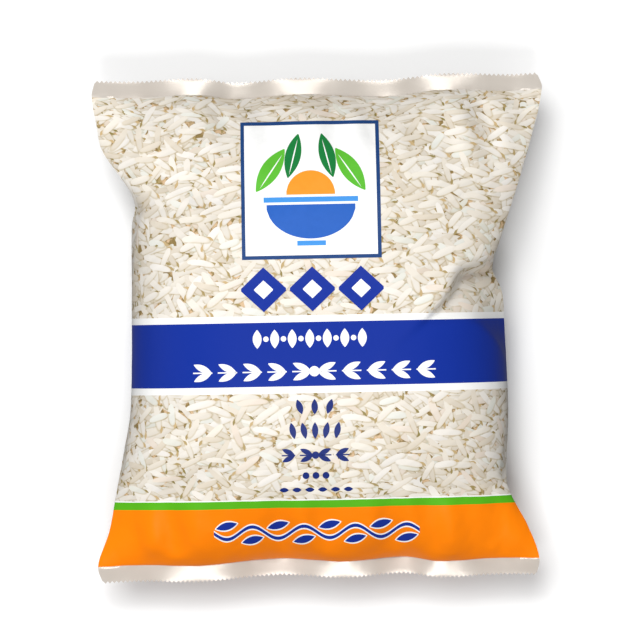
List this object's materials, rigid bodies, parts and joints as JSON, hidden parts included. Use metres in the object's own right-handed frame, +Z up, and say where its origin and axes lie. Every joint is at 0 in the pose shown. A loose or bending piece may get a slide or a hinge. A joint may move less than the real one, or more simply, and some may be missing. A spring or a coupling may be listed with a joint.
{
  "type": "filled rice pack",
  "caption": "Shut pillow pack of long grain rice lying on its back, with a flat zigzag-edged seal at each end, pointed corners and a fold at one side.",
  "frame": {"origin": "middle of the pack's footprint, on the surface that it lies on", "axes": "+X across the pack to the right of its printed front, +Y along the pack from the bottom seal to the top seal, +Z up out of the printed front"},
  "size_m": [0.3216, 0.3586, 0.1086],
  "materials": {
    "printed_film": "glossy printed film, with a picture of rice grains, blue and orange bands and white seals"
  },
  "bodies": {
    "root": {"rice_pack": "printed_film"}
  },
  "joints": []
}
